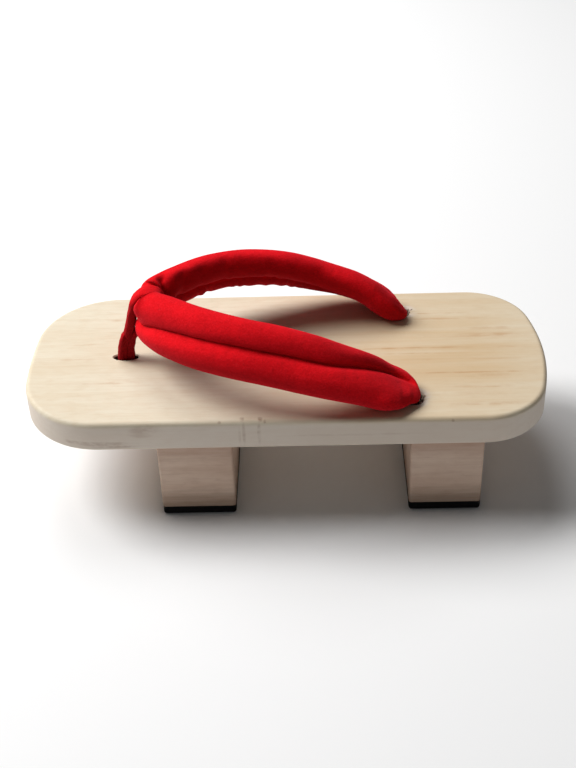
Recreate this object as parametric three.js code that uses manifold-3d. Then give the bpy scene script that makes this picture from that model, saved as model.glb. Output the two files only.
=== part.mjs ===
// A two-toothed geta sandal: a wooden board on two wooden teeth with rubber treads, and a padded cloth strap
// in a V that a toe loop holds down to the board. The strap's cords and the loop are knotted under the board.
// Millimetres, +Z up, toe towards -X, origin on the floor under the middle of the board.
import * as THREE from "three";
import Module from "manifold-3d";

const wasm = await Module();
wasm.setup();

// Driving dimensions
const GAP = 0.3; // clearance between pieces that touch
const BOARD = { length: 240, width: 102.5, thickness: 14.4, topRound: 2.2, bottomRound: 1 };
const TOE_END = { corner: 36.5, arc: 240 }; // radii in plan
const HEEL_END = { corner: 30, arc: 119 };
const TOOTH = { height: 35, setBack: 1, edgeRound: 1 };
const TREAD = { thickness: 4.6, edgeRound: 1.4 };
const TEETH = [
  { end: "front", x: -40.9, length: 33.6 },
  { end: "rear", x: 71.3, length: 32.6 },
];
const HOLE_RIM = 0.6; // bevel at the mouths of the holes
// Holes: place on the board's top, half sizes, shift in x on the way down (lean), radius of the knot below
const FRONT_HOLE = { x: -75.1, y: 0, radiusX: 5.8, radiusY: 2.5, lean: 0, knot: 8 };
const REAR_HOLE = { x: 57, y: 34.6, radiusX: 5.4, radiusY: 5.4, lean: -9.8, knot: 6.4 };
const REAR_SKEW = -1.5; // the strap's rear ends and holes sit this far to the left of the centre line
const CORD = { radius: 3.1, rise: 0.4, ahead: 1.6 }; // rise over the board's top, offset forward in the hole
const KNOT = { height: 8.5, lobes: 3, lobeDepth: 0.1 };

// Heights that follow
const TOOTH_Z = TREAD.thickness;
const UNDERSIDE_Z = TOOTH_Z + TOOTH.height;
const TOP_Z = UNDERSIDE_Z + BOARD.thickness;

// Course of half the strap, from the apex of the V towards the hole: the middle of the strap, its height above
// the board, how far the strap leans in (tilt, degrees), and its two padded rolls, a roll's width and
// thickness, the spacing of their middles and by what share the upper one is the larger. The first row is on
// the centre plane.
const STRAP_ROWS = [
  { x: -61.6, y: 0, z: 25.6, tilt: 4, rollWide: 10.2, rollThick: 10.4, spacing: 7.2, upper: 0.22 },
  { x: -60.6, y: 6.8, z: 24.5, tilt: 8, rollWide: 13, rollThick: 13, spacing: 10.4, upper: 0.3 },
  { x: -52.6, y: 16.4, z: 26.6, tilt: 28, rollWide: 14.8, rollThick: 12.7, spacing: 11.5, upper: 0.15 },
  { x: -36, y: 27.9, z: 27.6, tilt: 37, rollWide: 15.2, rollThick: 12.7, spacing: 11.7, upper: 0.05 },
  { x: -18, y: 34, z: 26.5, tilt: 38, rollWide: 15.2, rollThick: 12.7, spacing: 11.7, upper: 0 },
  { x: 0, y: 37, z: 23.5, tilt: 43, rollWide: 15.2, rollThick: 12.7, spacing: 11.7, upper: 0 },
];
// The left end lies down flat on the board, and the right one goes into its hole more on edge.
const LEFT_END_ROWS = [
  { x: 17, y: 38.6, z: 18.7, tilt: 57, rollWide: 15.2, rollThick: 12.7, spacing: 11.7, upper: 0 },
  { x: 31, y: 37.6, z: 13.2, tilt: 68, rollWide: 15.2, rollThick: 12.4, spacing: 11.8, upper: 0 },
  { x: 41, y: 35.8, z: 8.6, tilt: 76, rollWide: 15.2, rollThick: 11, spacing: 11.9, upper: 0 },
  { x: 49, y: 34.8, z: 5.2, tilt: 84, rollWide: 14.4, rollThick: 8.4, spacing: 11.2, upper: 0 },
  { x: 54.4, y: 34.6, z: 3.7, tilt: 88, rollWide: 11.2, rollThick: 6, spacing: 8.4, upper: 0 },
  { x: 57.4, y: 34.6, z: 2.7, tilt: 90, rollWide: 7, rollThick: 4.2, spacing: 4.8, upper: 0 },
  { x: 58.8, y: 34.6, z: 1.9, tilt: 90, rollWide: 3.2, rollThick: 2.6, spacing: 1.6, upper: 0 },
];
const RIGHT_END_ROWS = [
  { x: 17, y: 38.2, z: 18.3, tilt: 50, rollWide: 15.2, rollThick: 12.7, spacing: 11.7, upper: 0 },
  { x: 31, y: 37, z: 14.4, tilt: 54, rollWide: 15.2, rollThick: 12.7, spacing: 11.4, upper: 0 },
  { x: 41, y: 35.3, z: 10.3, tilt: 56, rollWide: 14.8, rollThick: 12.7, spacing: 10.5, upper: 0 },
  { x: 47.4, y: 32.9, z: 6.3, tilt: 56, rollWide: 13.8, rollThick: 12.2, spacing: 9, upper: 0 },
  { x: 51.4, y: 31.4, z: 3.4, tilt: 56, rollWide: 11.8, rollThick: 10.6, spacing: 7.2, upper: 0 },
  { x: 55, y: 30.9, z: 1.8, tilt: 58, rollWide: 8.6, rollThick: 7.6, spacing: 5, upper: 0 },
  { x: 57.6, y: 31.2, z: 1.1, tilt: 60, rollWide: 4, rollThick: 3.6, spacing: 2.4, upper: 0 },
];
const STRAP_CLEAR = 0.5; // the padding is pressed flat this far above the board
const STRAP_STEPS = 3; // sections between two rows
const ROLL_POINTS = 11; // points round each roll

// Course of the toe loop in the centre plane, as a folded cloth strip: up from the front hole, over the apex,
// down behind it, and forward under it to the hole again. Heights are above the board.
const LOOP_ROWS = [
  { x: -76.9, z: -16, thick: 3.6, wide: 4.2 },
  { x: -76.9, z: -6, thick: 3.6, wide: 4.2 },
  { x: -76.8, z: 0.6, thick: 3.7, wide: 4.3 },
  { x: -76, z: 7, thick: 4, wide: 6 },
  { x: -74, z: 12.6, thick: 4, wide: 6.4 },
  { x: -71.7, z: 18, thick: 3.6, wide: 6.2 },
  { x: -70.2, z: 24.5, thick: 3.2, wide: 6.2 },
  { x: -68.5, z: 31, thick: 2.8, wide: 6.6 },
  { x: -65, z: 35.3, thick: 2.6, wide: 7 },
  { x: -60.6, z: 36.9, thick: 2.6, wide: 7 },
  { x: -56.4, z: 34.8, thick: 2.6, wide: 6.6 },
  { x: -54.6, z: 29.6, thick: 2.6, wide: 6 },
  { x: -54.4, z: 23.6, thick: 2.6, wide: 6 },
  { x: -56.4, z: 18.2, thick: 2.6, wide: 6 },
  { x: -61, z: 16, thick: 2.8, wide: 6.2 },
  { x: -66.2, z: 15.6, thick: 3, wide: 6.2 },
  { x: -69.9, z: 12.9, thick: 3.4, wide: 6.2 },
  { x: -71.9, z: 7.4, thick: 3.7, wide: 6 },
  { x: -72.9, z: 0.6, thick: 3.6, wide: 4.3 },
  { x: -73.1, z: -6, thick: 3.6, wide: 4.2 },
  { x: -73.1, z: -16, thick: 3.6, wide: 4.2 },
];
const LOOP_STEPS = 2;
const STRIP_POINTS = 12;
const STRIP_SQUARENESS = 0.6; // 1 is an ellipse, smaller is squarer
const CIRCLE_POINTS = 28;

// Colours and finish of each material
const WOOD = { color: 0xdcc7a6, roughness: 0.62, metalness: 0 };
const VELVET = { color: 0xb80f16, roughness: 0.95, metalness: 0 };
const HEMP = { color: 0xb59b72, roughness: 0.95, metalness: 0 };
const RUBBER = { color: 0x141416, roughness: 0.8, metalness: 0 };

// Value of a table's column at a place t, counted in rows, on a smooth curve through the rows.
function column(rows, key, t) {
  const row = Math.min(Math.floor(t), rows.length - 2);
  const share = t - row;
  const at = (i) => rows[THREE.MathUtils.clamp(i, 0, rows.length - 1)][key];
  const [before, from, to, after] = [at(row - 1), at(row), at(row + 1), at(row + 2)];
  const slopeFrom = (to - before) / 2;
  const slopeTo = (after - from) / 2;
  const bend = 2 * (from - to) + slopeFrom + slopeTo;
  return from + share * (slopeFrom + share * (to - from - slopeFrom - bend + share * bend));
}

// Closed surface through rings of equally many points that run anticlockwise about the way from ring to ring.
function loft(rings) {
  const count = rings[0].length;
  const points = rings.flat();
  const index = [];
  for (let r = 0; r + 1 < rings.length; r++) {
    for (let i = 0; i < count; i++) {
      const a = r * count + i;
      const b = r * count + ((i + 1) % count);
      index.push(a, b, b + count, a, b + count, a + count);
    }
  }
  const cap = (first, facesBack) => {
    const middle = points.length;
    const ring = points.slice(first, first + count);
    points.push(ring.reduce((sum, p) => sum.add(p), new THREE.Vector3()).divideScalar(count));
    for (let i = 0; i < count; i++) {
      const a = first + i;
      const b = first + ((i + 1) % count);
      index.push(middle, facesBack ? b : a, facesBack ? a : b);
    }
  };
  const lastRing = (rings.length - 1) * count;
  cap(0, true);
  cap(lastRing, false);
  return new THREE.BufferGeometry().setFromPoints(points).setIndex(index);
}

// Solid for joining and cutting, and its surface again
function toSolid(geometry) {
  return new wasm.Manifold(
    new wasm.Mesh({
      numProp: 3,
      vertProperties: new Float32Array(geometry.getAttribute("position").array),
      triVerts: new Uint32Array(geometry.index.array),
    }),
  );
}

function toGeometry(solid) {
  const { vertProperties, triVerts } = solid.getMesh();
  return new THREE.BufferGeometry()
    .setAttribute("position", new THREE.BufferAttribute(vertProperties, 3))
    .setIndex(new THREE.BufferAttribute(triVerts, 1));
}

function piece(name, geometry, finish) {
  geometry.computeVertexNormals();
  const mesh = new THREE.Mesh(geometry, new THREE.MeshStandardMaterial(finish));
  mesh.name = name;
  return mesh;
}

// Points of an arc in plan, both ends included
function arc(centreX, centreY, radius, from, to, steps) {
  return Array.from({ length: steps + 1 }, (_, i) => {
    const angle = from + ((to - from) * i) / steps;
    return new THREE.Vector2(centreX + radius * Math.cos(angle), centreY + radius * Math.sin(angle));
  });
}

function circle(points) {
  return arc(0, 0, 1, 0, 2 * Math.PI, points).slice(0, -1);
}

// Half the plan outline of one end of the board, from its tip round the corner to the straight side, drawn
// towards +X and moved inwards by inset.
function boardEnd(radii, inset) {
  const corner = radii.corner - inset;
  const endArc = radii.arc - inset;
  const arcX = BOARD.length / 2 - radii.arc;
  const cornerY = BOARD.width / 2 - inset - corner;
  const meet = Math.asin(cornerY / (endArc - corner)); // direction in which the two arcs meet
  const cornerX = arcX + (endArc - corner) * Math.cos(meet);
  return [
    ...arc(arcX, 0, endArc, 0, meet, 5).slice(0, -1),
    ...arc(cornerX, cornerY, corner, meet, Math.PI / 2, 9),
  ];
}

function boardOutline(inset) {
  const heel = boardEnd(HEEL_END, inset);
  const toe = boardEnd(TOE_END, inset).map((p) => new THREE.Vector2(-p.x, p.y));
  const farSide = [...heel, ...toe.reverse()];
  const nearSide = farSide.slice(1, -1).reverse().map((p) => new THREE.Vector2(p.x, -p.y));
  return [...farSide, ...nearSide];
}

// Insets and heights that round an edge off, from the side to the face
function roundedEdge(radius, steps) {
  return Array.from({ length: steps + 1 }, (_, i) => {
    const angle = (Math.PI / 2) * (i / steps);
    return { inset: radius * (1 - Math.cos(angle)), rise: radius * (Math.sin(angle) - 1) };
  });
}

// Slab from one height to another, with its plan outline as a function of the inset and its two rims rounded.
function slab(outline, bottomZ, topZ, bottomRound, topRound) {
  const level = (inset, z) => outline(inset).map((p) => new THREE.Vector3(p.x, p.y, z));
  const bottomRim = roundedEdge(bottomRound, 2).reverse();
  const topRim = roundedEdge(topRound, 4);
  return loft([
    ...bottomRim.map((edge) => level(edge.inset, bottomZ - edge.rise)),
    ...topRim.map((edge) => level(edge.inset, topZ + edge.rise)),
  ]);
}

// Hole through the board with bevelled mouths, as the solid that is cut away
function holeCut(hole) {
  const rows = [
    { z: UNDERSIDE_Z - HOLE_RIM, wider: 2 * HOLE_RIM },
    { z: UNDERSIDE_Z + HOLE_RIM, wider: 0 },
    { z: TOP_Z - HOLE_RIM, wider: 0 },
    { z: TOP_Z + HOLE_RIM, wider: 2 * HOLE_RIM },
  ];
  return toSolid(
    loft(
      rows.map(({ z, wider }) => {
        const x = hole.x + (hole.lean * (TOP_Z - z)) / BOARD.thickness;
        const [reachX, reachY] = [hole.radiusX + wider, hole.radiusY + wider];
        const ring = circle(CIRCLE_POINTS);
        return ring.map((p) => new THREE.Vector3(x + p.x * reachX, hole.y + p.y * reachY, z));
      }),
    ),
  );
}

const sideHoles = [-1, 1].map((side) => ({ ...REAR_HOLE, y: side * REAR_HOLE.y + REAR_SKEW }));

function board() {
  const plank = slab(boardOutline, UNDERSIDE_Z, TOP_Z, BOARD.bottomRound, BOARD.topRound);
  const drilled = [FRONT_HOLE, ...sideHoles].reduce(
    (wood, hole) => wood.subtract(holeCut(hole)),
    toSolid(plank),
  );
  return piece("board", toGeometry(drilled), WOOD);
}

// Plan outline of a tooth or tread, a block across the board with its upright edges rounded
function toothOutline(tooth, edgeRound) {
  return (inset) => {
    const radius = Math.max(edgeRound - inset, 0.2);
    const cornerX = tooth.length / 2 - inset - radius;
    const cornerY = BOARD.width / 2 - TOOTH.setBack - inset - radius;
    const corners = [
      { x: cornerX, y: cornerY },
      { x: -cornerX, y: cornerY },
      { x: -cornerX, y: -cornerY },
      { x: cornerX, y: -cornerY },
    ];
    return corners.flatMap(({ x, y }, quarter) =>
      arc(tooth.x + x, y, radius, (quarter * Math.PI) / 2, ((quarter + 1) * Math.PI) / 2, 3),
    );
  };
}

function toothAndTread(tooth) {
  const wood = slab(toothOutline(tooth, TOOTH.edgeRound), TOOTH_Z, UNDERSIDE_Z, 0.2, 0.2);
  const rubber = slab(toothOutline(tooth, TREAD.edgeRound), 0, TOOTH_Z, TREAD.edgeRound, 0.2);
  return [piece(`tooth_${tooth.end}`, wood, WOOD), piece(`tread_${tooth.end}`, rubber, RUBBER)];
}

// Section of the strap: two padded rolls side by side with a crease between them, across the strap (wide) and
// through it (thick). Extra makes it larger all round.
function strapSection({ rollWide, rollThick, spacing, upper }, extra) {
  const halfWide = rollWide / 2 + extra;
  const halfThick = rollThick / 2 + extra;
  const crease = Math.acos(-spacing / 2 / halfWide); // angle on a roll at which the two rolls meet
  const roll = (way) =>
    Array.from({ length: ROLL_POINTS }, (_, i) => {
      const angle = crease * (1 - (2 * i) / ROLL_POINTS);
      const reach = spacing / 2 + halfWide * (1 + way * upper) * Math.cos(angle);
      return { wide: way * reach, thick: way * halfThick * Math.sin(angle) };
    });
  return [...roll(1), ...roll(-1)];
}

const strapSide = (rows, side) =>
  rows.map((row) => ({ ...row, y: side * row.y + REAR_SKEW * THREE.MathUtils.smoothstep(row.x, 25, 52) }));
const leftHalf = strapSide([...STRAP_ROWS.slice(1), ...LEFT_END_ROWS], -1);
const wholeStrap = [...leftHalf.reverse(), ...strapSide([...STRAP_ROWS, ...RIGHT_END_ROWS], 1)];

function strapAt(t) {
  return Object.fromEntries(Object.keys(STRAP_ROWS[0]).map((key) => [key, column(wholeStrap, key, t)]));
}

function strapMiddle(t) {
  const { x, y, z } = strapAt(t);
  return new THREE.Vector3(x, y, z + TOP_Z);
}

// One ring of the strap, at a place t counted in rows. The strap leans towards the inside of the V.
function strapRing(t, extra) {
  const last = wholeStrap.length - 1;
  const near = 0.02;
  const ahead = strapMiddle(Math.min(t + near, last));
  const along = ahead.sub(strapMiddle(Math.max(t - near, 0))).normalize();
  const up = new THREE.Vector3(0, 0, 1).projectOnPlane(along).normalize();
  const inward = new THREE.Vector3().crossVectors(along, up);
  const section = strapAt(t);
  const tilt = THREE.MathUtils.degToRad(section.tilt);
  const across = up.multiplyScalar(Math.cos(tilt)).addScaledVector(inward, Math.sin(tilt));
  const through = new THREE.Vector3().crossVectors(across, along);
  return strapSection(section, extra).map((p) => {
    const point = strapMiddle(t).addScaledVector(across, p.wide).addScaledVector(through, p.thick);
    return point.setZ(Math.max(point.z, TOP_Z + STRAP_CLEAR - extra));
  });
}

function strapGeometry(extra) {
  const steps = (wholeStrap.length - 1) * STRAP_STEPS;
  return loft(Array.from({ length: steps + 1 }, (_, i) => strapRing(i / STRAP_STEPS, extra)));
}

// One ring of the toe loop: a rounded rectangle across the strip's course
function loopRing(t) {
  const at = (place) => {
    const place01 = THREE.MathUtils.clamp(place, 0, LOOP_ROWS.length - 1);
    return new THREE.Vector3(column(LOOP_ROWS, "x", place01), 0, TOP_Z + column(LOOP_ROWS, "z", place01));
  };
  const near = 0.02;
  const along = at(t + near).sub(at(t - near)).normalize();
  const side = new THREE.Vector3(0, 1, 0);
  const outward = new THREE.Vector3().crossVectors(side, along);
  const squared = (value) => Math.sign(value) * Math.abs(value) ** STRIP_SQUARENESS;
  return Array.from({ length: STRIP_POINTS }, (_, i) => {
    const angle = (2 * Math.PI * (i + 0.5)) / STRIP_POINTS;
    return at(t)
      .addScaledVector(outward, (column(LOOP_ROWS, "thick", t) / 2) * squared(Math.cos(angle)))
      .addScaledVector(side, (column(LOOP_ROWS, "wide", t) / 2) * squared(Math.sin(angle)));
  });
}

// Knot that holds a cord under the board, a flattened ball with a few lobes
function knot(hole) {
  const x = hole.x + hole.lean;
  const y = hole.y;
  const rows = 7;
  const top = UNDERSIDE_Z - GAP;
  const rings = Array.from({ length: rows }, (_, i) => {
    const height = -Math.cos((Math.PI * (i + 0.5)) / rows);
    const radius = hole.knot * Math.sqrt(1 - height * height);
    const z = top - (KNOT.height / 2) * (1 - height);
    return circle(CIRCLE_POINTS).map((p, k) => {
      const lobe = Math.cos((KNOT.lobes * 2 * Math.PI * k) / CIRCLE_POINTS + height);
      const reach = radius * (1 + KNOT.lobeDepth * lobe);
      return new THREE.Vector3(x + p.x * reach, y + p.y * reach, z);
    });
  });
  return toSolid(loft(rings));
}

function toeLoop() {
  const steps = (LOOP_ROWS.length - 1) * LOOP_STEPS;
  const strip = loft(Array.from({ length: steps + 1 }, (_, i) => loopRing(i / LOOP_STEPS)));
  const clearOfStrap = toSolid(strip).subtract(toSolid(strapGeometry(GAP)));
  return piece("toe_loop", toGeometry(clearOfStrap.add(knot(FRONT_HOLE))), VELVET);
}

// Cord that runs from under the strap's end through a rear hole to its knot
function strapCord(hole, name) {
  const places = [UNDERSIDE_Z - KNOT.height / 2, TOP_Z + CORD.rise];
  const rings = places.map((z) => {
    const x = hole.x - CORD.ahead + (hole.lean * (TOP_Z - z)) / BOARD.thickness;
    return circle(CIRCLE_POINTS / 2).map(
      (p) => new THREE.Vector3(x + p.x * CORD.radius, hole.y + p.y * CORD.radius, z),
    );
  });
  const clearOfStrap = toSolid(loft(rings)).subtract(toSolid(strapGeometry(GAP)));
  return piece(name, toGeometry(clearOfStrap.add(knot(hole))), HEMP);
}

const geta = new THREE.Group();
geta.add(board());
TEETH.forEach((tooth) => geta.add(...toothAndTread(tooth)));
geta.add(piece("thong_strap", strapGeometry(0), VELVET));
geta.add(toeLoop());
sideHoles.forEach((hole, i) => geta.add(strapCord(hole, ["strap_cord_left", "strap_cord_right"][i])));

export default geta;
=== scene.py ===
"""Two-toothed geta sandal: pale wood, black rubber treads, a padded red velvet strap and its toe loop."""
import math
import random

import bpy
from mathutils import Matrix, Vector, noise


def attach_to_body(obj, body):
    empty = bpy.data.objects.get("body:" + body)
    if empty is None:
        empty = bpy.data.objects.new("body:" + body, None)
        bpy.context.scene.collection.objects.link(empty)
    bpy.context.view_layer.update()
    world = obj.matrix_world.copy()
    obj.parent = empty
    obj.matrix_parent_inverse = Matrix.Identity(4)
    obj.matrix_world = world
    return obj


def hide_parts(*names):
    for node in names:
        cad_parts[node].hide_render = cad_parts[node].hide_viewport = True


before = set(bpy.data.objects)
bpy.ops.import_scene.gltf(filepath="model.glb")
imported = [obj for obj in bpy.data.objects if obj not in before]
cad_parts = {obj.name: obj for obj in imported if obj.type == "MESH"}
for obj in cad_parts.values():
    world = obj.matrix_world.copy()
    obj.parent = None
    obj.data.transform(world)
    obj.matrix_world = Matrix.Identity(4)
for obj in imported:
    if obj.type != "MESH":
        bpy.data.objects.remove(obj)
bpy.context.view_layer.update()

MM = 0.001
TAU = 2 * math.pi

# Sizes in millimetres, as in the part's source
BOARD = {"length": 240.0, "width": 102.5, "bottom": 39.6, "top": 54.0, "top_round": 2.2, "bottom_round": 1.0}
BOARD_THICK = BOARD["top"] - BOARD["bottom"]
TOE_END = {"corner": 36.5, "arc": 240.0}
HEEL_END = {"corner": 30.0, "arc": 119.0}
TEETH = {"front": {"x": -40.9, "length": 33.6}, "rear": {"x": 71.3, "length": 32.6}}
TOOTH_HALF_WIDTH = 50.25
TREAD_TOP = 4.6
CORD_RADIUS = 3.0
CORD_SETBACK = 1.2
PLY_TURN = 0.9
FRAY_FIBRES = 12
REAR_SKEW = -1.5
FRONT_HOLE = {"x": -75.1, "y": 0.0, "rx": 5.8, "ry": 2.5, "lean": 0.0, "knot": 8.0}
LEFT_HOLE = {"x": 57.0, "y": -34.6 + REAR_SKEW, "rx": 4.7, "ry": 4.7, "lean": -9.8, "knot": 6.4}
RIGHT_HOLE = dict(LEFT_HOLE, x=55.4, y=34.6 + REAR_SKEW)

STRAP_KEYS = ("x", "y", "z", "tilt", "wide", "thick", "spacing", "upper")


def strap_table(*rows):
    return [dict(zip(STRAP_KEYS, row)) for row in rows]


# Half the strap from the apex on, then its two ends
STRAP_ROWS = strap_table(
    (-61.6, 0.0, 25.6, 4, 10.2, 10.4, 7.2, 0.22),
    (-60.6, 6.8, 24.5, 8, 13.0, 13.0, 10.4, 0.3),
    (-52.6, 16.4, 26.6, 28, 14.8, 12.7, 11.5, 0.15),
    (-36.0, 27.9, 27.6, 37, 15.2, 12.7, 11.7, 0.05),
    (-18.0, 34.0, 26.5, 38, 15.2, 12.7, 11.7, 0.0),
    (0.0, 37.0, 23.5, 43, 15.2, 12.7, 11.7, 0.0),
)
LEFT_END_ROWS = strap_table(
    (17.0, 38.6, 18.7, 57, 15.2, 12.7, 11.7, 0.0),
    (31.0, 37.6, 13.2, 68, 15.2, 12.4, 11.8, 0.0),
    (41.0, 35.8, 8.6, 76, 15.2, 11.0, 11.9, 0.0),
    (49.0, 34.0, 5.2, 84, 14.4, 8.4, 11.2, 0.0),
    (54.4, 33.9, 3.7, 88, 11.4, 6.4, 8.2, 0.0),
    (57.2, 34.3, 2.7, 90, 7.2, 4.8, 4.6, 0.0),
    (58.9, 34.6, 1.8, 90, 2.8, 2.4, 1.6, 0.0),
)
RIGHT_END_ROWS = strap_table(
    (17.0, 38.2, 18.3, 50, 15.2, 12.7, 11.7, 0.0),
    (31.0, 37.0, 14.4, 54, 15.2, 12.7, 11.4, 0.0),
    (41.0, 35.3, 10.3, 56, 14.8, 12.7, 10.5, 0.0),
    (47.4, 32.9, 6.3, 56, 13.8, 12.2, 9.0, 0.0),
    (51.4, 31.4, 3.4, 56, 11.8, 10.6, 7.2, 0.0),
    (55.0, 30.9, 1.8, 58, 8.6, 7.6, 5.0, 0.0),
    (57.6, 31.2, 1.1, 60, 4.0, 3.6, 2.4, 0.0),
)

LOOP_KEYS = ("x", "y", "z", "thick", "wide")


def loop_table(*rows):
    return [dict(zip(LOOP_KEYS, row)) for row in rows]


# The toe loop's strip: up from the front hole, over the apex, down behind it and forward to the hole again
LOOP_ROWS = loop_table(
    (-75.4, 0.4, -16.0, 3.2, 4.2),
    (-75.4, 0.4, -6.0, 3.2, 4.2),
    (-75.0, 0.4, 0.6, 3.3, 4.3),
    (-74.4, 0.4, 7.0, 3.6, 5.6),
    (-72.9, 0.2, 12.6, 4.6, 6.4),
    (-71.1, 0.0, 18.0, 4.9, 6.2),
    (-69.6, 0.0, 24.5, 4.5, 6.4),
    (-67.9, 0.0, 31.0, 3.8, 6.6),
    (-64.8, 0.0, 34.9, 3.0, 7.0),
    (-60.6, 0.0, 36.5, 2.6, 7.0),
    (-56.4, 0.0, 34.8, 2.6, 6.6),
    (-54.6, 0.0, 29.6, 2.6, 6.0),
    (-54.4, 0.0, 23.6, 2.6, 6.0),
    (-56.4, 0.0, 18.2, 2.6, 6.0),
    (-61.0, 0.0, 16.0, 2.8, 6.2),
    (-66.2, 0.0, 15.6, 3.0, 6.2),
    (-69.9, 0.0, 12.9, 3.4, 6.2),
    (-71.7, 0.2, 7.4, 3.5, 5.8),
    (-72.6, 0.3, 0.6, 3.5, 4.3),
    (-73.1, 0.3, -6.0, 3.4, 4.2),
    (-73.1, 0.3, -16.0, 3.4, 4.2),
)
# The strip's turned-up end, which lies against the front leg
TONGUE_ROWS = loop_table(
    (-77.0, -0.1, -12.0, 3.2, 4.2),
    (-77.0, -0.1, -4.0, 3.2, 4.2),
    (-77.0, -0.2, 0.6, 3.3, 4.3),
    (-76.5, -0.4, 5.0, 3.5, 5.2),
    (-75.5, -0.7, 9.6, 3.3, 5.6),
    (-74.5, -0.8, 12.6, 2.7, 5.2),
    (-73.9, -0.8, 13.9, 1.5, 3.6),
    (-73.7, -0.8, 14.3, 0.5, 1.6),
)

# Creases along the strap from the apex, to the right, as troughs and ridges (depth below 0) of one roll
# Slant is per radian round the roll, and low to high are the angles that the crease runs between
CREASE_KEYS = ("along", "slant", "half", "depth", "roll", "low", "high")
CREASES = [dict(zip(CREASE_KEYS, row)) for row in (
    (6.4, 1.0, 1.8, 1.2, 1, -1.9, 0.6),
    (12.8, 2.4, 1.9, 3.0, 1, -2.6, 0.2),
    (18.0, 2.4, 2.4, -0.6, 1, -2.2, 0.2),
    (23.0, 1.8, 2.0, 0.7, 1, -2.2, -0.2),
    (33.0, 1.0, 2.6, 0.4, 1, -2.2, -0.2),
    (46.0, 0.6, 3.2, 0.5, 1, -2.2, 0.1),
    (69.0, -0.6, 3.0, 0.35, 1, -2.2, -0.2),
    (92.0, -0.8, 3.5, 0.4, 1, -2.2, 0.1),
    (-6.0, 0.0, 3.4, -1.3, 1, -1.2, 1.6),
    (-13.5, -2.2, 1.8, 1.4, 1, -2.4, -0.7),
    (-22.0, -1.5, 2.0, 0.5, 1, -2.2, -0.5),
    (-46.0, -0.8, 3.0, 0.4, 1, -2.2, -0.5),
    (-80.0, 0.8, 3.2, 0.35, 1, -2.2, -0.5),
    (-123.5, 0.0, 4.2, -0.5, -1, -0.7, 0.7),
    (10.0, 0.0, 2.0, 0.7, -1, 0.4, 2.0),
    (-10.0, 0.0, 2.0, 0.7, -1, 0.4, 2.0),
)]
GATHER_PITCH = 6.8
STRAP_CLEARANCE = 0.15


# Curves, lofts and meshes

def clamp(value, low, high):
    return max(low, min(high, value))


def smoothstep(value, low, high):
    share = clamp((value - low) / (high - low), 0.0, 1.0)
    return share * share * (3 - 2 * share)


def column(rows, key, t):
    """Value of a table's column at t, counted in rows, on a smooth curve through the rows."""
    row = min(int(t), len(rows) - 2)
    share = t - row
    before, first, second, after = (rows[clamp(row + i, 0, len(rows) - 1)][key] for i in (-1, 0, 1, 2))
    slope_a, slope_b = (second - before) / 2, (after - first) / 2
    bend = 2 * (first - second) + slope_a + slope_b
    return first + share * (slope_a + share * (second - first - slope_a - bend + share * bend))


def even_places(point_at, last, step):
    """Places t from 0 to last that lie a step apart along the curve, with the length at each."""
    fine = 60 * last
    points = [point_at(last * i / fine) for i in range(fine + 1)]
    lengths = [0.0]
    for a, b in zip(points, points[1:]):
        lengths.append(lengths[-1] + (b - a).length)
    count = max(2, round(lengths[-1] / step))
    places, k = [], 0
    for i in range(count + 1):
        want = lengths[-1] * i / count
        while k < fine - 1 and lengths[k + 1] < want:
            k += 1
        share = (want - lengths[k]) / max(lengths[k + 1] - lengths[k], 1e-9)
        places.append((last * (k + share) / fine, want))
    return places, lengths[-1]


def loft(rings):
    """Vertices and faces through rings of equally many points that run anticlockwise about the way along."""
    count, verts = len(rings[0]), [p for ring in rings for p in ring]
    faces = []
    for low in range(0, len(verts) - count, count):
        high = low + count
        for i in range(count):
            j = (i + 1) % count
            faces.append((low + i, low + j, high + j, high + i))
    faces.append(tuple(reversed(range(count))))
    faces.append(tuple(range(len(verts) - count, len(verts))))
    return verts, faces


def make_piece(name, meshes, material, sharp=None):
    """One object from (vertices, faces) lists in millimetres, smooth but for edges over the sharp angle."""
    verts, faces = [], []
    for v, f in meshes:
        faces += [tuple(i + len(verts) for i in face) for face in f]
        verts += [tuple(c * MM for c in p) for p in v]
    mesh = bpy.data.meshes.new(name)
    mesh.from_pydata(verts, [], faces)
    mesh.validate()
    mesh.polygons.foreach_set("use_smooth", [True] * len(mesh.polygons))
    if sharp is not None:
        mesh.set_sharp_from_angle(angle=math.radians(sharp))
    mesh.materials.append(material)
    obj = bpy.data.objects.new(name, mesh)
    bpy.context.collection.objects.link(obj)
    return obj


def attach(obj, node):
    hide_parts(node)
    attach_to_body(obj, "root")


def arc(cx, cy, radius, start, end, steps):
    angles = (start + (end - start) * i / steps for i in range(steps + 1))
    return [(cx + radius * math.cos(a), cy + radius * math.sin(a)) for a in angles]


def board_end(radii, inset):
    corner, end_arc = radii["corner"] - inset, radii["arc"] - inset
    arc_x = BOARD["length"] / 2 - radii["arc"]
    corner_y = BOARD["width"] / 2 - inset - corner
    meet = math.asin(corner_y / (end_arc - corner))
    corner_x = arc_x + (end_arc - corner) * math.cos(meet)
    return arc(arc_x, 0, end_arc, 0, meet, 16)[:-1] + arc(corner_x, corner_y, corner, meet, math.pi / 2, 30)


def board_outline(inset):
    heel = board_end(HEEL_END, inset)
    toe = [(-x, y) for x, y in reversed(board_end(TOE_END, inset))]
    (x0, y0), (x1, y1) = heel[-1], toe[0]
    side = [(x0 + (x1 - x0) * i / 40, y0 + (y1 - y0) * i / 40) for i in range(1, 40)]
    far = heel + side + toe
    return far + [(x, -y) for x, y in reversed(far[1:-1])]


def block_outline(tooth, radius, inset):
    r = max(radius - inset, 0.15)
    cx, cy = tooth["length"] / 2 - inset - r, TOOTH_HALF_WIDTH - inset - r
    points = []
    for quarter, (sx, sy) in enumerate(((1, 1), (-1, 1), (-1, -1), (1, -1))):
        start = quarter * math.pi / 2
        points += arc(tooth["x"] + sx * cx, sy * cy, r, start, start + math.pi / 2, 6)
    return points


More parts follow.
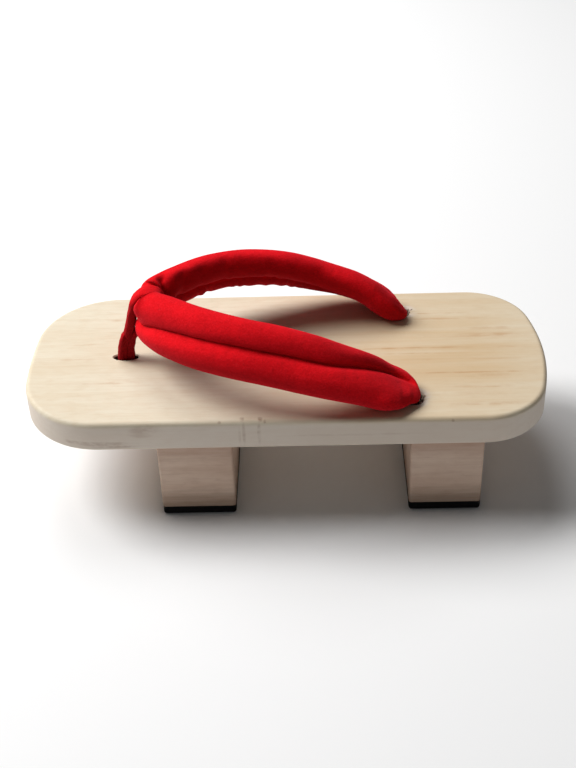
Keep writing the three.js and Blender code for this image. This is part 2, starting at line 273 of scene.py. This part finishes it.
def slab(outline, bottom, top, bottom_round, top_round, steps=8):
    """Slab with rounded rims. A last ring inside each rim keeps the shading of the flat faces even."""
    def rim(radius):
        angles = (math.pi / 2 * i / steps for i in range(steps + 1))
        curve = [(radius * (1 - math.cos(a)), radius * (math.sin(a) - 1)) for a in angles]
        return curve + [(radius + 0.5, 0.0)]

    levels = [(inset, bottom - rise) for inset, rise in reversed(rim(bottom_round))]
    levels += [(inset, top + rise) for inset, rise in rim(top_round)]
    return loft([[Vector((x, y, z)) for x, y in outline(inset)] for inset, z in levels])


# Materials

class Shader:
    """A node material, with its nodes made by short calls."""

    def __init__(self, name):
        self.material = bpy.data.materials.new(name)
        self.material.use_nodes = True
        self.tree = self.material.node_tree
        self.bsdf = next(n for n in self.tree.nodes if n.type == "BSDF_PRINCIPLED")

    def put(self, socket, value):
        if isinstance(value, bpy.types.NodeSocket):
            self.tree.links.new(value, socket)
        else:
            socket.default_value = value

    def node(self, kind, output=0, setup=None, **inputs):
        made = self.tree.nodes.new(kind)
        for key, value in (setup or {}).items():
            setattr(made, key, value)
        for key, value in inputs.items():
            self.put(made.inputs[key.replace("_", " ")], value)
        return made.outputs[output]

    def math(self, operation, a, b=0.0, c=0.0):
        made = self.tree.nodes.new("ShaderNodeMath")
        made.operation = operation
        for socket, value in zip(made.inputs, (a, b, c)):
            self.put(socket, value)
        return made.outputs[0]

    def product(self, first, *others):
        for other in others:
            first = self.math("MULTIPLY", first, other)
        return first

    def hypot(self, a, b):
        return self.math("SQRT", self.math("ADD", self.product(a, a), self.product(b, b)))

    def remap(self, value, from_low, from_high, to_low=0.0, to_high=1.0):
        return self.node("ShaderNodeMapRange", setup={"interpolation_type": "SMOOTHSTEP"},
                         Value=value, From_Min=from_low, From_Max=from_high, To_Min=to_low, To_Max=to_high)

    def mix(self, factor, a, b):
        made = self.tree.nodes.new("ShaderNodeMix")
        made.data_type = "RGBA"
        for socket, value in zip((made.inputs[0], made.inputs[6], made.inputs[7]), (factor, a, b)):
            self.put(socket, value)
        return made.outputs[2]

    def noise(self, vector, detail=2.0, rough=0.5):
        return self.node("ShaderNodeTexNoise", Vector=vector, Scale=1.0, Detail=detail, Roughness=rough)

    def split(self, vector):
        made = self.tree.nodes.new("ShaderNodeSeparateXYZ")
        self.put(made.inputs[0], vector)
        return made.outputs

    def place_mm(self, scale=(1, 1, 1), shift=(0, 0, 0)):
        """Object coordinates in millimetres, scaled per axis."""
        place = self.node("ShaderNodeTexCoord", output=3)
        return self.node("ShaderNodeMapping", Vector=place, Location=shift, Scale=[s / MM for s in scale])

    def finish(self, **inputs):
        for key, value in inputs.items():
            self.put(self.bsdf.inputs[key.replace("_", " ")], value)
        return self.material

    def bump(self, height, distance, strength):
        return self.node("ShaderNodeBump", Height=height, Distance=distance, Strength=strength)


def rgb(red, green, blue):
    """Colour from display values 0 to 255."""
    def linear(v):
        v /= 255
        return v / 12.92 if v <= 0.04045 else ((v + 0.055) / 1.055) ** 2.4
    return (linear(red), linear(green), linear(blue), 1.0)


HEEL_BROWN = rgb(203, 173, 132)
SIDE_GREY = rgb(216, 203, 196)
STREAK_OCHRE = rgb(184, 140, 98)
MARK_BROWN = rgb(134, 90, 60)
TORN_PALE = rgb(232, 220, 208)
# Painted shade for the walls inside the holes
HOLE_WALL_SHADE = rgb(40, 25, 20)
# Painted shade, darker towards the floor, for the lower part of the teeth
TOOTH_FLOOR_SHADE = rgb(112, 88, 70)
TOOTH_RED = rgb(166, 124, 104)

# Streaks along the board's top: place across, half width, start and end along, strength
STREAKS = (
    (1.8, 1.1, 20.0, 116.0, 1.0),
    (-2.6, 0.8, 30.0, 98.0, 0.7),
    (-17.8, 1.0, 50.0, 119.0, 1.0),
    (-20.5, 2.4, 66.0, 108.0, 0.45),
    (12.0, 2.6, 60.0, 116.0, 0.75),
    (17.5, 1.8, 76.0, 117.0, 0.75),
    (26.0, 1.4, 30.0, 104.0, 0.6),
    (31.0, 1.0, 40.0, 92.0, 0.6),
    (-7.5, 1.2, 44.0, 112.0, 0.4),
    (-29.0, 1.4, 64.0, 112.0, 0.5),
    (-34.0, 2.4, 60.0, 100.0, 0.35),
    (-41.5, 2.0, 66.0, 116.0, 0.7),
    (-1.5, 1.2, -119.0, -76.0, 0.6),
    (10.6, 0.9, -113.0, -78.0, 0.5),
    (31.0, 1.4, -110.0, -62.0, 0.6),
    (24.0, 1.0, -104.0, -74.0, 0.4),
    (-21.0, 1.4, -116.0, -60.0, 0.4),
)
# Brown marks on the near rim and side: along, height of the middle, half width, half height, strength
MARKS = (
    (-19.0, 54.0, 0.9, 0.5, 0.55),
    (-11.0, 54.1, 1.0, 0.6, 0.7),
    (-9.0, 53.4, 0.6, 0.5, 0.5),
    (-28.8, 53.4, 0.8, 0.4, 0.5),
    (72.7, 52.6, 0.7, 0.6, 0.5),
    (-18.3, 48.0, 0.7, 6.4, 0.3),
    (-11.6, 48.0, 0.8, 6.0, 0.32),
    (-20.2, 46.0, 0.6, 5.0, 0.15),
    (-62.0, 50.6, 7.0, 2.2, 0.28),
    (-64.0, 47.6, 5.0, 1.2, 0.2),
    (-84.0, 43.2, 17.0, 1.1, 0.45),
    (-76.0, 41.6, 10.0, 0.7, 0.4),
    (30.0, 46.0, 30.0, 0.6, 0.12),
)


def board_marks(s, colour, place, wander, ragged, blotch):
    """The board's own colours: a browner heel half, greyer sides, ochre streaks and brown marks."""
    x, y, z = place
    band = s.noise(s.place_mm((1 / 150, 1 / 8, 1 / 30), (20.0, 4.0, 0.0)), detail=2.0, rough=0.55)
    off_middle = s.math("ABSOLUTE", s.math("ADD", y, 2.0))
    brown = s.product(
        s.remap(x, -45.0, 60.0, 0.0, 0.85),
        s.remap(x, 85.0, 119.0, 1.0, 0.6),
        s.remap(off_middle, 8.0, 40.0, 1.0, 0.6),
        s.remap(band, 0.36, 0.62, 0.62, 1.0),
        s.remap(z, 51.5, 53.6, 0.2, 1.0),
    )
    colour = s.mix(brown, colour, HEEL_BROWN)
    colour = s.mix(s.remap(z, 53.4, 51.0, 0.0, 0.55), colour, SIDE_GREY)

    bent_y = s.math("MULTIPLY_ADD", wander, 0.3, y)
    total = 0.0
    for middle, half, start, end, strength in STREAKS:
        off = s.math("ABSOLUTE", s.math("SUBTRACT", bent_y, middle))
        along = s.product(s.remap(x, start, start + 24.0), s.remap(x, end - 18.0, end, 1.0, 0.0))
        total = s.math("MAXIMUM", total, s.product(s.remap(off, half, 0.0), along, strength))
    patchy = s.remap(s.math("ADD", ragged, blotch), 0.75, 1.25, 0.0, 0.75)
    colour = s.mix(s.product(total, patchy, s.remap(z, 52.0, 53.6)), colour, STREAK_OCHRE)

    total = 0.0
    for along, high, half_x, half_z, strength in MARKS:
        dx = s.math("DIVIDE", s.math("SUBTRACT", x, along), half_x)
        dz = s.math("DIVIDE", s.math("SUBTRACT", z, high), half_z)
        off = s.math("ADD", s.product(dx, dx), s.product(dz, dz))
        total = s.math("MAXIMUM", total, s.product(s.remap(off, 1.8, 0.0), strength))
    total = s.product(total, s.remap(y, -47.0, -49.0), s.remap(blotch, 0.35, 0.62, 0.2, 1.0))
    return s.mix(total, colour, MARK_BROWN)


def hole_tears_and_shade(s, colour, place, blotch):
    """Holes painted dark inside as shade, the rear ones torn pale at the mouth."""
    x, y, z = place
    for hole, torn in ((FRONT_HOLE, 0.0), (LEFT_HOLE, 0.7), (RIGHT_HOLE, 0.7)):
        slope = hole["lean"] / BOARD_THICK
        axis = s.math("MULTIPLY_ADD", z, -slope, slope * BOARD["top"] + hole["x"])
        dx = s.math("DIVIDE", s.math("SUBTRACT", x, axis), hole["rx"])
        dy = s.math("DIVIDE", s.math("SUBTRACT", y, hole["y"]), hole["ry"])
        off = s.hypot(dx, dy)
        pale = s.product(s.remap(off, 1.9, 1.1), s.remap(blotch, 0.4, 0.6, 0.0, torn))
        colour = s.mix(pale, colour, TORN_PALE)
        # Painted shade on the walls inside each hole
        wall_shade = s.product(s.remap(z, 53.7, 53.0, 0.0, 0.95), s.remap(z, 40.2, 42.0), s.remap(off, 1.6, 1.35))
        colour = s.mix(wall_shade, colour, HOLE_WALL_SHADE)
    return colour


def wood(name, light, dark, streak, board=False, shift=(0.0, 0.0, 0.0), end_dark=0.07):
    """Pale wood with its grain along the board. The board's own marks with painted shade in its holes, and
    painted shade low on the teeth, go on top.
    """
    s = Shader(name)
    x, y, z = s.split(s.place_mm())
    _, across, depth = s.split(s.place_mm(shift=shift))

    # Growth rings about an axis along the board, bent by slow noise
    wander = s.noise(s.place_mm((1 / 190, 1 / 34, 1 / 34), shift), detail=1.5)
    wander = s.math("MULTIPLY_ADD", wander, 14.0, -7.0)
    across = s.math("ADD", s.math("ADD", across, 165.0), wander)
    depth = s.math("ADD", depth, s.math("MULTIPLY_ADD", wander, 0.4, -150.0))
    radius = s.hypot(across, depth)
    uneven = s.noise(s.place_mm((1 / 400, 1 / 11, 1 / 11), shift), detail=1.0)
    turns = s.math("ADD", s.math("MULTIPLY", radius, 1 / 4.3), s.math("MULTIPLY", uneven, 2.4))
    ring = s.math("FRACT", turns)
    late = s.product(s.remap(ring, 0.4, 0.9), s.remap(ring, 0.9, 1.0, 1.0, 0.0))

    # Fibres, pores, broad tone and small blotches
    fibre = s.noise(s.place_mm((1 / 34, 1 / 0.8, 1 / 0.8), shift), detail=3.0, rough=0.62)
    pore = s.remap(s.noise(s.place_mm((1 / 10, 1 / 0.3, 1 / 0.3), shift), detail=1.0), 0.6, 0.76)
    tone = s.noise(s.place_mm((1 / 80, 1 / 16, 1 / 16), shift), detail=3.0)
    ragged = s.noise(s.place_mm((1 / 22, 1 / 1.5, 1 / 1.5), shift), detail=3.0)
    blotch = s.noise(s.place_mm((1 / 7, 1 / 2.6, 1 / 2.6), shift), detail=4.0, rough=0.6)

    colour = s.mix(s.math("MULTIPLY", late, 0.2), light, dark)
    colour = s.mix(s.remap(tone, 0.35, 0.75, 0.0, 0.55), colour, dark)
    colour = s.mix(s.remap(blotch, 0.4, 0.75, 0.0, 0.28), colour, s.mix(0.3, dark, streak))
    colour = s.mix(s.remap(fibre, 0.36, 0.76, 0.0, 0.16), colour, s.mix(0.45, dark, streak))
    colour = s.mix(s.math("MULTIPLY", pore, 0.2), colour, streak)

    if board:
        colour = board_marks(s, colour, (x, y, z), wander, ragged, blotch)
        colour = hole_tears_and_shade(s, colour, (x, y, z), blotch)
    else:
        # Painted shade, darker towards the floor, on the lower part of the teeth, and a redder band under
        # the board
        low = s.math("ADD", z, s.math("MULTIPLY", ragged, 8.0))
        colour = s.mix(s.remap(low, 22.0, 9.0, 0.0, 0.55), colour, TOOTH_FLOOR_SHADE)
        colour = s.mix(s.remap(low, 34.0, 44.0, 0.0, 0.4), colour, TOOTH_RED)

    # End grain, where the fibres come out at the surface, takes more dirt
    facing = s.split(s.node("ShaderNodeNewGeometry", output=1))[0]
    ends = s.remap(s.math("ABSOLUTE", facing), 0.5, 1.0, 0.0, end_dark)
    colour = s.mix(ends, colour, s.mix(0.5, dark, rgb(120, 100, 82)))

    height = s.math("ADD", s.math("MULTIPLY", late, 0.35), s.math("MULTIPLY", fibre, 0.6))
    height = s.math("SUBTRACT", height, s.math("MULTIPLY", pore, 0.6))
    return s.finish(Base_Color=colour, Roughness=s.remap(fibre, 0.2, 0.8, 0.5, 0.68),
                    Specular_IOR_Level=0.35, Normal=s.bump(height, 0.00007, 0.7))


def velvet(name, rubbed_and_shaded=0.0):
    """Red velvet. The second argument's share cuts the sheen, as on the toe loop, whose nap is rubbed down,
    and darkens the cloth below the loop's top as painted shade.
    """
    s = Shader(name)
    brushed = s.noise(s.place_mm((1 / 11, 1 / 11, 1 / 11)), detail=3.0, rough=0.6)
    mottle = s.noise(s.place_mm((1 / 2.2, 1 / 2.2, 1 / 2.2)), detail=2.0)
    nap = s.noise(s.place_mm((1 / 0.7, 1 / 0.7, 1 / 0.7)), detail=3.0, rough=0.7)
    colour = s.mix(s.remap(brushed, 0.3, 0.7), rgb(218, 5, 17), rgb(236, 9, 22))
    colour = s.mix(s.remap(mottle, 0.35, 0.75, 0.0, 0.4), colour, rgb(194, 3, 12))
    colour = s.mix(s.remap(nap, 0.42, 0.72, 0.0, 0.55), colour, rgb(252, 30, 44))

    # Painted shade: cloth that faces down, sideways or toward the heel is darkened, away from the key light
    heelward, _, upward = s.split(s.node("ShaderNodeNewGeometry", output=1))
    shade_facing_down, shade_facing_heel = s.remap(upward, 0.8, -0.15, 0.0, 0.62), s.remap(heelward, 0.15, 0.7, 0.0, 0.5)
    colour = s.mix(s.math("MAXIMUM", shade_facing_down, shade_facing_heel), colour, rgb(132, 3, 10))
    # Painted shade: cloth below the top of the loop darkens by the second argument's share
    low = s.remap(s.split(s.place_mm())[2], 80.0, 89.0, 1.0, 0.15)
    colour = s.mix(s.math("MULTIPLY", low, rubbed_and_shaded), colour, rgb(92, 12, 17))
    height = s.math("ADD", nap, s.math("MULTIPLY", mottle, 0.8))
    return s.finish(Base_Color=colour, Roughness=0.95, Specular_IOR_Level=0.12,
                    Sheen_Weight=0.7 * (1 - rubbed_and_shaded), Sheen_Roughness=0.45, Sheen_Tint=(1.0, 0.04, 0.07, 1.0),
                    Normal=s.bump(height, 0.00022, 0.9))


def rubber(name):
    s = Shader(name)
    grit = s.noise(s.place_mm((1 / 0.6, 1 / 0.6, 1 / 0.6)), detail=3.0, rough=0.7)
    dust = s.noise(s.place_mm((1 / 16, 1 / 16, 1 / 5)), detail=4.0, rough=0.65)
    colour = s.mix(s.remap(dust, 0.45, 0.8, 0.0, 0.5), rgb(9, 9, 10), rgb(22, 21, 21))
    return s.finish(Base_Color=colour, Roughness=s.remap(grit, 0.3, 0.7, 0.7, 0.9), Specular_IOR_Level=0.15,
                    Normal=s.bump(grit, 0.0001, 0.7))


def hemp(name):
    s = Shader(name)
    fibre = s.noise(s.place_mm((1 / 0.7, 1 / 0.7, 1 / 2.5)), detail=3.0, rough=0.65)
    colour = s.mix(s.remap(fibre, 0.25, 0.75), rgb(176, 156, 134), rgb(236, 226, 212))
    return s.finish(Base_Color=colour, Roughness=0.9, Specular_IOR_Level=0.2,
                    Normal=s.bump(fibre, 0.0002, 0.8))


WOOD_TOP = wood("pale_wood", rgb(224, 214, 192), rgb(213, 195, 166), rgb(184, 150, 110), board=True)
WOOD_TOOTH = wood("tooth_wood", rgb(219, 194, 174), rgb(197, 164, 142), rgb(152, 108, 84),
                  shift=(40.0, 63.0, 21.0), end_dark=0.0)
VELVET = velvet("red_velvet")
LOOP_VELVET = velvet("loop_velvet", 0.5)
RUBBER = rubber("black_rubber")
HEMP = hemp("hemp_cord")


# Board with its holes, teeth and treads

def hole_cutter(name, hole, seed):
    """Slanted plug with a flare past each face of the board and a slightly torn edge."""
    bottom, top = BOARD["bottom"], BOARD["top"]
    rings = []
    for z, wider in ((bottom - 1.0, 1.6), (bottom + 0.6, 0.0), (top - 0.6, 0.0), (top + 1.0, 1.6)):
        x = hole["x"] + hole["lean"] * (top - z) / BOARD_THICK
        ring = []
        for i in range(64):
            a = TAU * i / 64
            torn = 0.35 * noise.noise(Vector((3 * math.cos(a), 3 * math.sin(a), seed)))
            ring.append(Vector((x + (hole["rx"] + wider + torn) * math.cos(a),
                                hole["y"] + (hole["ry"] + wider + torn) * math.sin(a), z)))
        rings.append(ring)
    return make_piece(name, [loft(rings)], WOOD_TOP)


def cut(obj, cutters):
    for cutter in cutters:
        step = obj.modifiers.new("hole", "BOOLEAN")
        step.operation, step.solver, step.object = "DIFFERENCE", "EXACT", cutter
    bpy.context.view_layer.update()
    evaluated = obj.evaluated_get(bpy.context.evaluated_depsgraph_get())
    mesh = bpy.data.meshes.new_from_object(evaluated)
    obj.modifiers.clear()
    obj.data = mesh
    for cutter in cutters:
        bpy.data.objects.remove(cutter)
    mesh.polygons.foreach_set("use_smooth", [True] * len(mesh.polygons))
    mesh.set_sharp_from_angle(angle=math.radians(20))


plank = slab(board_outline, BOARD["bottom"], BOARD["top"], BOARD["bottom_round"], BOARD["top_round"])
board = make_piece("board_wood", [plank], WOOD_TOP)
holes = enumerate((FRONT_HOLE, LEFT_HOLE, RIGHT_HOLE))
cut(board, [hole_cutter(f"cutter_{i}", hole, 5.0 * i) for i, hole in holes])
attach(board, "board")

for end, tooth in TEETH.items():
    def tooth_outline(inset, tooth=tooth):
        return block_outline(tooth, 1.2, inset)

    def tread_outline(inset, tooth=tooth):
        return block_outline(tooth, 1.4, inset)

    block = slab(tooth_outline, TREAD_TOP, BOARD["bottom"], 0.25, 0.2, 3)
    attach(make_piece(f"tooth_{end}_wood", [block], WOOD_TOOTH, 35), f"tooth_{end}")
    sole = slab(tread_outline, 0.0, TREAD_TOP, 1.4, 0.3, 5)
    attach(make_piece(f"tread_{end}_rubber", [sole], RUBBER, 35), f"tread_{end}")


# Strap

def strap_side(rows, side):
    return [dict(r, y=side * r["y"] + REAR_SKEW * smoothstep(r["x"], 25.0, 52.0)) for r in rows]


WHOLE_STRAP = strap_side(STRAP_ROWS[1:] + LEFT_END_ROWS, -1)[::-1]
WHOLE_STRAP += strap_side(STRAP_ROWS + RIGHT_END_ROWS, 1)
STRAP_LAST = len(WHOLE_STRAP) - 1
ROLL_POINTS = 30


def middle_at(rows, t):
    return Vector((column(rows, "x", t), column(rows, "y", t), column(rows, "z", t) + BOARD["top"]))


def strap_middle(t):
    return middle_at(WHOLE_STRAP, t)


def crease_depth(s, way, angle):
    total = 0.0
    for row in CREASES:
        off = (s - row["along"] - row["slant"] * angle) / row["half"]
        if row["roll"] == way and abs(off) < 3:
            window = smoothstep(angle, row["low"] - 0.4, row["low"] + 0.3)
            window *= 1 - smoothstep(angle, row["high"] - 0.3, row["high"] + 0.4)
            total += row["depth"] * window * math.exp(-off * off)
    return total


def strap_swell(s, half, way, angle, crease):
    """Height of the cloth over the plain roll, at s from the apex and at an angle round the roll."""
    inner = smoothstep(-way * math.sin(angle), -0.1, 0.3)
    to_crease = max((crease - abs(angle)) * 7.5, 0.0)
    lumps = 0.3 * noise.noise(Vector((s / 17, 1.4 * angle, 4.0 * way)))
    wave = math.sin(TAU * s / GATHER_PITCH + 5.0 * noise.noise(Vector((s / 14, 3.0 * way, 1.0))))
    uneven = 0.6 + 1.2 * noise.noise(Vector((s / 11, 5.0, way)))
    gathers = wave * uneven * (0.08 + 0.34 * inner) * math.exp(-to_crease / 3.4)
    underneath = smoothstep(-way * math.sin(angle), 0.2, 0.6)
    scalloped = smoothstep(abs(s), 18.0, 34.0) * (1 - smoothstep(abs(s), 75.0, 95.0)) if way < 0 else 0.0
    scallops = 0.36 * wave * uneven * underneath * scalloped
    seam = math.exp(-to_crease ** 2)
    at_end = smoothstep(abs(s), half - 20.0, half - 6.0)
    tucks = 0.22 * at_end * math.sin(4.0 * angle + 2.5 * noise.noise(Vector((s / 6, 2.0 * angle, 7.0))))
    return lumps + gathers + scallops + tucks - seam - crease_depth(s, way, angle)


def strap_ring(t, s, half):
    """Section of the strap at s from the apex. Its rolls merge near the ends, and the left end turns out."""
    near = 0.02
    along = (strap_middle(min(t + near, STRAP_LAST)) - strap_middle(max(t - near, 0))).normalized()
    up = Vector((0, 0, 1))
    up = (up - along * up.dot(along)).normalized()
    tilt = math.radians(column(WHOLE_STRAP, "tilt", t))
    across = up * math.cos(tilt) + along.cross(up) * math.sin(tilt)
    through = across.cross(along)
    wide, thick, spacing, upper = (column(WHOLE_STRAP, key, t) for key in STRAP_KEYS[4:])
    crease = math.acos(-spacing / wide)
    small = smoothstep(half - abs(s), 0.0, 5.0)
    merged = 1 - smoothstep(half - abs(s), 1.0, 6.0 if s < 0 else 11.0)
    seam_off = 0.36 * smoothstep(-s, half - 48.0, half - 12.0)
    seam_off += 0.24 * smoothstep(-s, half - 4.0, half - 1.0)
    end_turn = Vector((0, -3.0 * smoothstep(-s, half - 5.0, half), 0))
    ring = []
    for way in (1, -1):
        a, b = wide / 2 * (1 + way * upper), thick / 2
        for i in range(ROLL_POINTS):
            angle = crease * (1 - 2 * i / ROLL_POINTS)
            swell = small * strap_swell(s, half, way, angle, crease)
            u = spacing / 2 + (a + swell) * math.cos(angle)
            v = (b + swell) * math.sin(angle)
            round_angle = angle * math.pi / 2 / crease
            u += merged * ((spacing / 2 + a) * math.cos(round_angle) - u)
            v += merged * (b * math.sin(round_angle) - v)
            u = way * u * (1 - way * seam_off) + seam_off * (spacing / 2 + a)
            point = strap_middle(t) + across * u + through * (way * v) + end_turn
            point.z = max(point.z, BOARD["top"] + STRAP_CLEARANCE)
            ring.append(point)
    return ring


strap_places, strap_length = even_places(strap_middle, STRAP_LAST, 0.8)
strap_rings = [strap_ring(t, done - strap_length / 2, strap_length / 2) for t, done in strap_places]
strap = make_piece("thong_strap_velvet", [loft(strap_rings)], VELVET)
attach(strap, "thong_strap")


# Toe loop, a folded strip with its legs in the front hole

def strip_ring(rows, t, s, seed):
    near, last = 0.02, len(rows) - 1
    along = (middle_at(rows, min(t + near, last)) - middle_at(rows, max(t - near, 0))).normalized()
    side = Vector((0, 1, 0))
    side = (side - along * side.dot(along)).normalized()
    outward = side.cross(along)
    thick, wide = column(rows, "thick", t) / 2, column(rows, "wide", t) / 2
    ring = []
    for i in range(32):
        a = TAU * (i + 0.5) / 32
        ca, sa = math.cos(a), math.sin(a)
        u, v = math.copysign(abs(ca) ** 0.9, ca), math.copysign(abs(sa) ** 0.9, sa)
        crumple = min(0.32 * noise.noise(Vector((s / 3.2, 1.8 * a, seed))), thick)
        fold = 0.45 * math.exp(-(((v + 0.2 * math.sin(s / 5)) / 0.2) ** 2)) * abs(u)
        high = thick + crumple - min(fold, thick * 0.4)
        ring.append(middle_at(rows, t) + outward * (u * high) + side * (v * (wide + crumple)))
    return ring


def strip(rows, seed):
    places, length = even_places(lambda t: middle_at(rows, t), len(rows) - 1, 0.5)
    return loft([strip_ring(rows, t, done, seed) for t, done in places])


# Knots under the board, a flat trefoil of cord with two short ends

def tube(points, radius_at, sides=14, plies=2, ply_turn=0.0):
    """Tube of twisted plies along points, without sudden turns of its section."""
    rings, ref = [], None
    last = len(points) - 1
    done = 0.0
    for i, p in enumerate(points):
        along = (points[min(i + 1, last)] - points[max(i - 1, 0)]).normalized()
        if ref is None:
            ref = along.orthogonal().normalized()
        ref = (ref - along * ref.dot(along)).normalized()
        other = along.cross(ref)
        if i:
            done += (p - points[i - 1]).length
        ring = []
        for k in range(sides):
            a = TAU * k / sides
            r = radius_at(i / last)
            r *= 1 - 0.12 * abs(math.sin(plies / 2 * (a + ply_turn * done)))
            ring.append(p + ref * (r * math.cos(a)) + other * (r * math.sin(a)))
        rings.append(ring)
    return loft(rings)


def knot(hole, cord_radius):
    top = BOARD["bottom"] - 0.3
    middle = Vector((hole["x"] + hole["lean"], hole["y"], top - 4.2))
    reach = (hole["knot"] - cord_radius) / 3.0
    rise = 4.1 - cord_radius
    turn = []
    for i in range(91):
        a = TAU * i / 90
        r = reach * (2 + math.cos(3 * a))
        turn.append(middle + Vector((r * math.cos(2 * a), r * math.sin(2 * a), rise * math.sin(3 * a))))
    meshes = [tube(turn, lambda share: cord_radius, plies=3, ply_turn=PLY_TURN)]
    for way in (1, -1):
        start = middle + Vector((0, way * reach * 1.2, 0))
        end = middle + Vector((way * 2.0, way * hole["knot"] * 0.8, -2.2))
        tail = [start.lerp(end, i / 10) for i in range(11)]
        taper = tube(tail, lambda share: cord_radius * (0.95 - 0.1 * share), plies=3, ply_turn=PLY_TURN)
        meshes.append(taper)
    return meshes


strips = [strip(LOOP_ROWS, 3.0), strip(TONGUE_ROWS, 8.0)]
loop = make_piece("toe_loop_velvet", strips + knot(FRONT_HOLE, 2.4), LOOP_VELVET)
attach(loop, "toe_loop")


# Rear cords with their knots and frayed fibres

def fray(hole, seed):
    """Fibres that stick out of a rear hole behind the strap's end."""
    chance = random.Random(seed)
    meshes = []
    for i in range(FRAY_FIBRES):
        turn = math.radians(-50 + 160 * i / (FRAY_FIBRES - 1) + chance.uniform(-7, 7))
        reach, rise = chance.uniform(3.2, 4.6), chance.uniform(0.4, 1.3)
        out = Vector((math.cos(turn), math.sin(turn), 0))
        start = Vector((hole["x"], hole["y"], BOARD["top"] - 2.5)) + out * (reach - 0.6)
        top = start + out * chance.uniform(0.3, 1.0) + Vector((0, 0, 2.5 + rise))
        end = top + out * chance.uniform(-2.6, 1.2)
        end += Vector((chance.uniform(-1, 1), chance.uniform(-1.5, 1.5), -rise))
        points = [start.lerp(top, k / 10).lerp(top.lerp(end, k / 10), k / 10) for k in range(11)]
        width = chance.uniform(0.2, 0.36)
        meshes.append(tube(points, lambda share, w=width: w * (1 - 0.6 * share), 6, plies=0))
    return meshes


for side, hole in (("left", LEFT_HOLE), ("right", RIGHT_HOLE)):
    def cord_point(z, hole=hole):
        drop = (BOARD["top"] - z) / BOARD_THICK
        return Vector((hole["x"] - CORD_SETBACK + hole["lean"] * drop, hole["y"], z))

    shaft = [cord_point(BOARD["top"] + 0.4 - i * 0.5) for i in range(38)]
    strands = [tube(shaft, lambda share: CORD_RADIUS, 18, plies=2, ply_turn=PLY_TURN)]
    cord = make_piece(f"strap_cord_{side}_hemp", strands + knot(hole, 1.9) + fray(hole, side), HEMP)
    attach(cord, f"strap_cord_{side}")


# Floor, light and camera

floor_mesh = bpy.data.meshes.new("floor")
floor_mesh.from_pydata([(-6, -6, 0), (6, -6, 0), (6, 6, 0), (-6, 6, 0)], [], [(0, 1, 2, 3)])
pale = Shader("pale_floor").finish(Base_Color=(0.9, 0.9, 0.9, 1.0), Roughness=0.9, Specular_IOR_Level=0.2)
floor_mesh.materials.append(pale)
floor = bpy.data.objects.new("floor", floor_mesh)
bpy.context.collection.objects.link(floor)

LIGHT_REACH = 1.6


def studio_light(name, turn, rise, size, power):
    """Disc of light that looks at the sandal, from its bearing and its height in degrees."""
    turn, rise = math.radians(turn), math.radians(rise)
    way = Vector((math.cos(turn) * math.cos(rise), math.sin(turn) * math.cos(rise), math.sin(rise)))
    data = bpy.data.lights.new(name, "AREA")
    data.shape, data.size, data.energy = "DISK", size, power
    obj = bpy.data.objects.new(name, data)
    obj.location = way * LIGHT_REACH + Vector((0, 0, 0.05))
    obj.rotation_euler = way.to_track_quat("Z", "Y").to_euler()
    bpy.context.collection.objects.link(obj)


studio_light("key", 161, 46, 0.9, 29.0)
studio_light("back_fill", 110, 55, 0.9, 9.3)

world = bpy.data.worlds.new("studio")
world.use_nodes = True
background = next(n for n in world.node_tree.nodes if n.type == "BACKGROUND")
background.inputs[0].default_value = (1.0, 1.0, 1.0, 1.0)
background.inputs[1].default_value = 0.095
bpy.context.scene.world = world

lens = bpy.data.cameras.new("camera")
lens.sensor_width = 36.0
lens.lens = 57.76
lens.clip_start = 0.01
camera = bpy.data.objects.new("camera", lens)
# Camera fitted to the photo: its place in metres and its own axes
place = Matrix.Translation((0.013977, -0.470884, 0.38526))
right = Vector((0.99952311, 0.00664851, -0.03015549))
up = Vector((0.02026042, 0.59577268, 0.80289752))
back = Vector((0.02330389, -0.80312559, 0.59535386))
camera.matrix_world = place @ Matrix((right, up, back)).transposed().to_4x4()
bpy.context.collection.objects.link(camera)
bpy.context.scene.camera = camera
bpy.context.scene.view_settings.view_transform = "Standard"
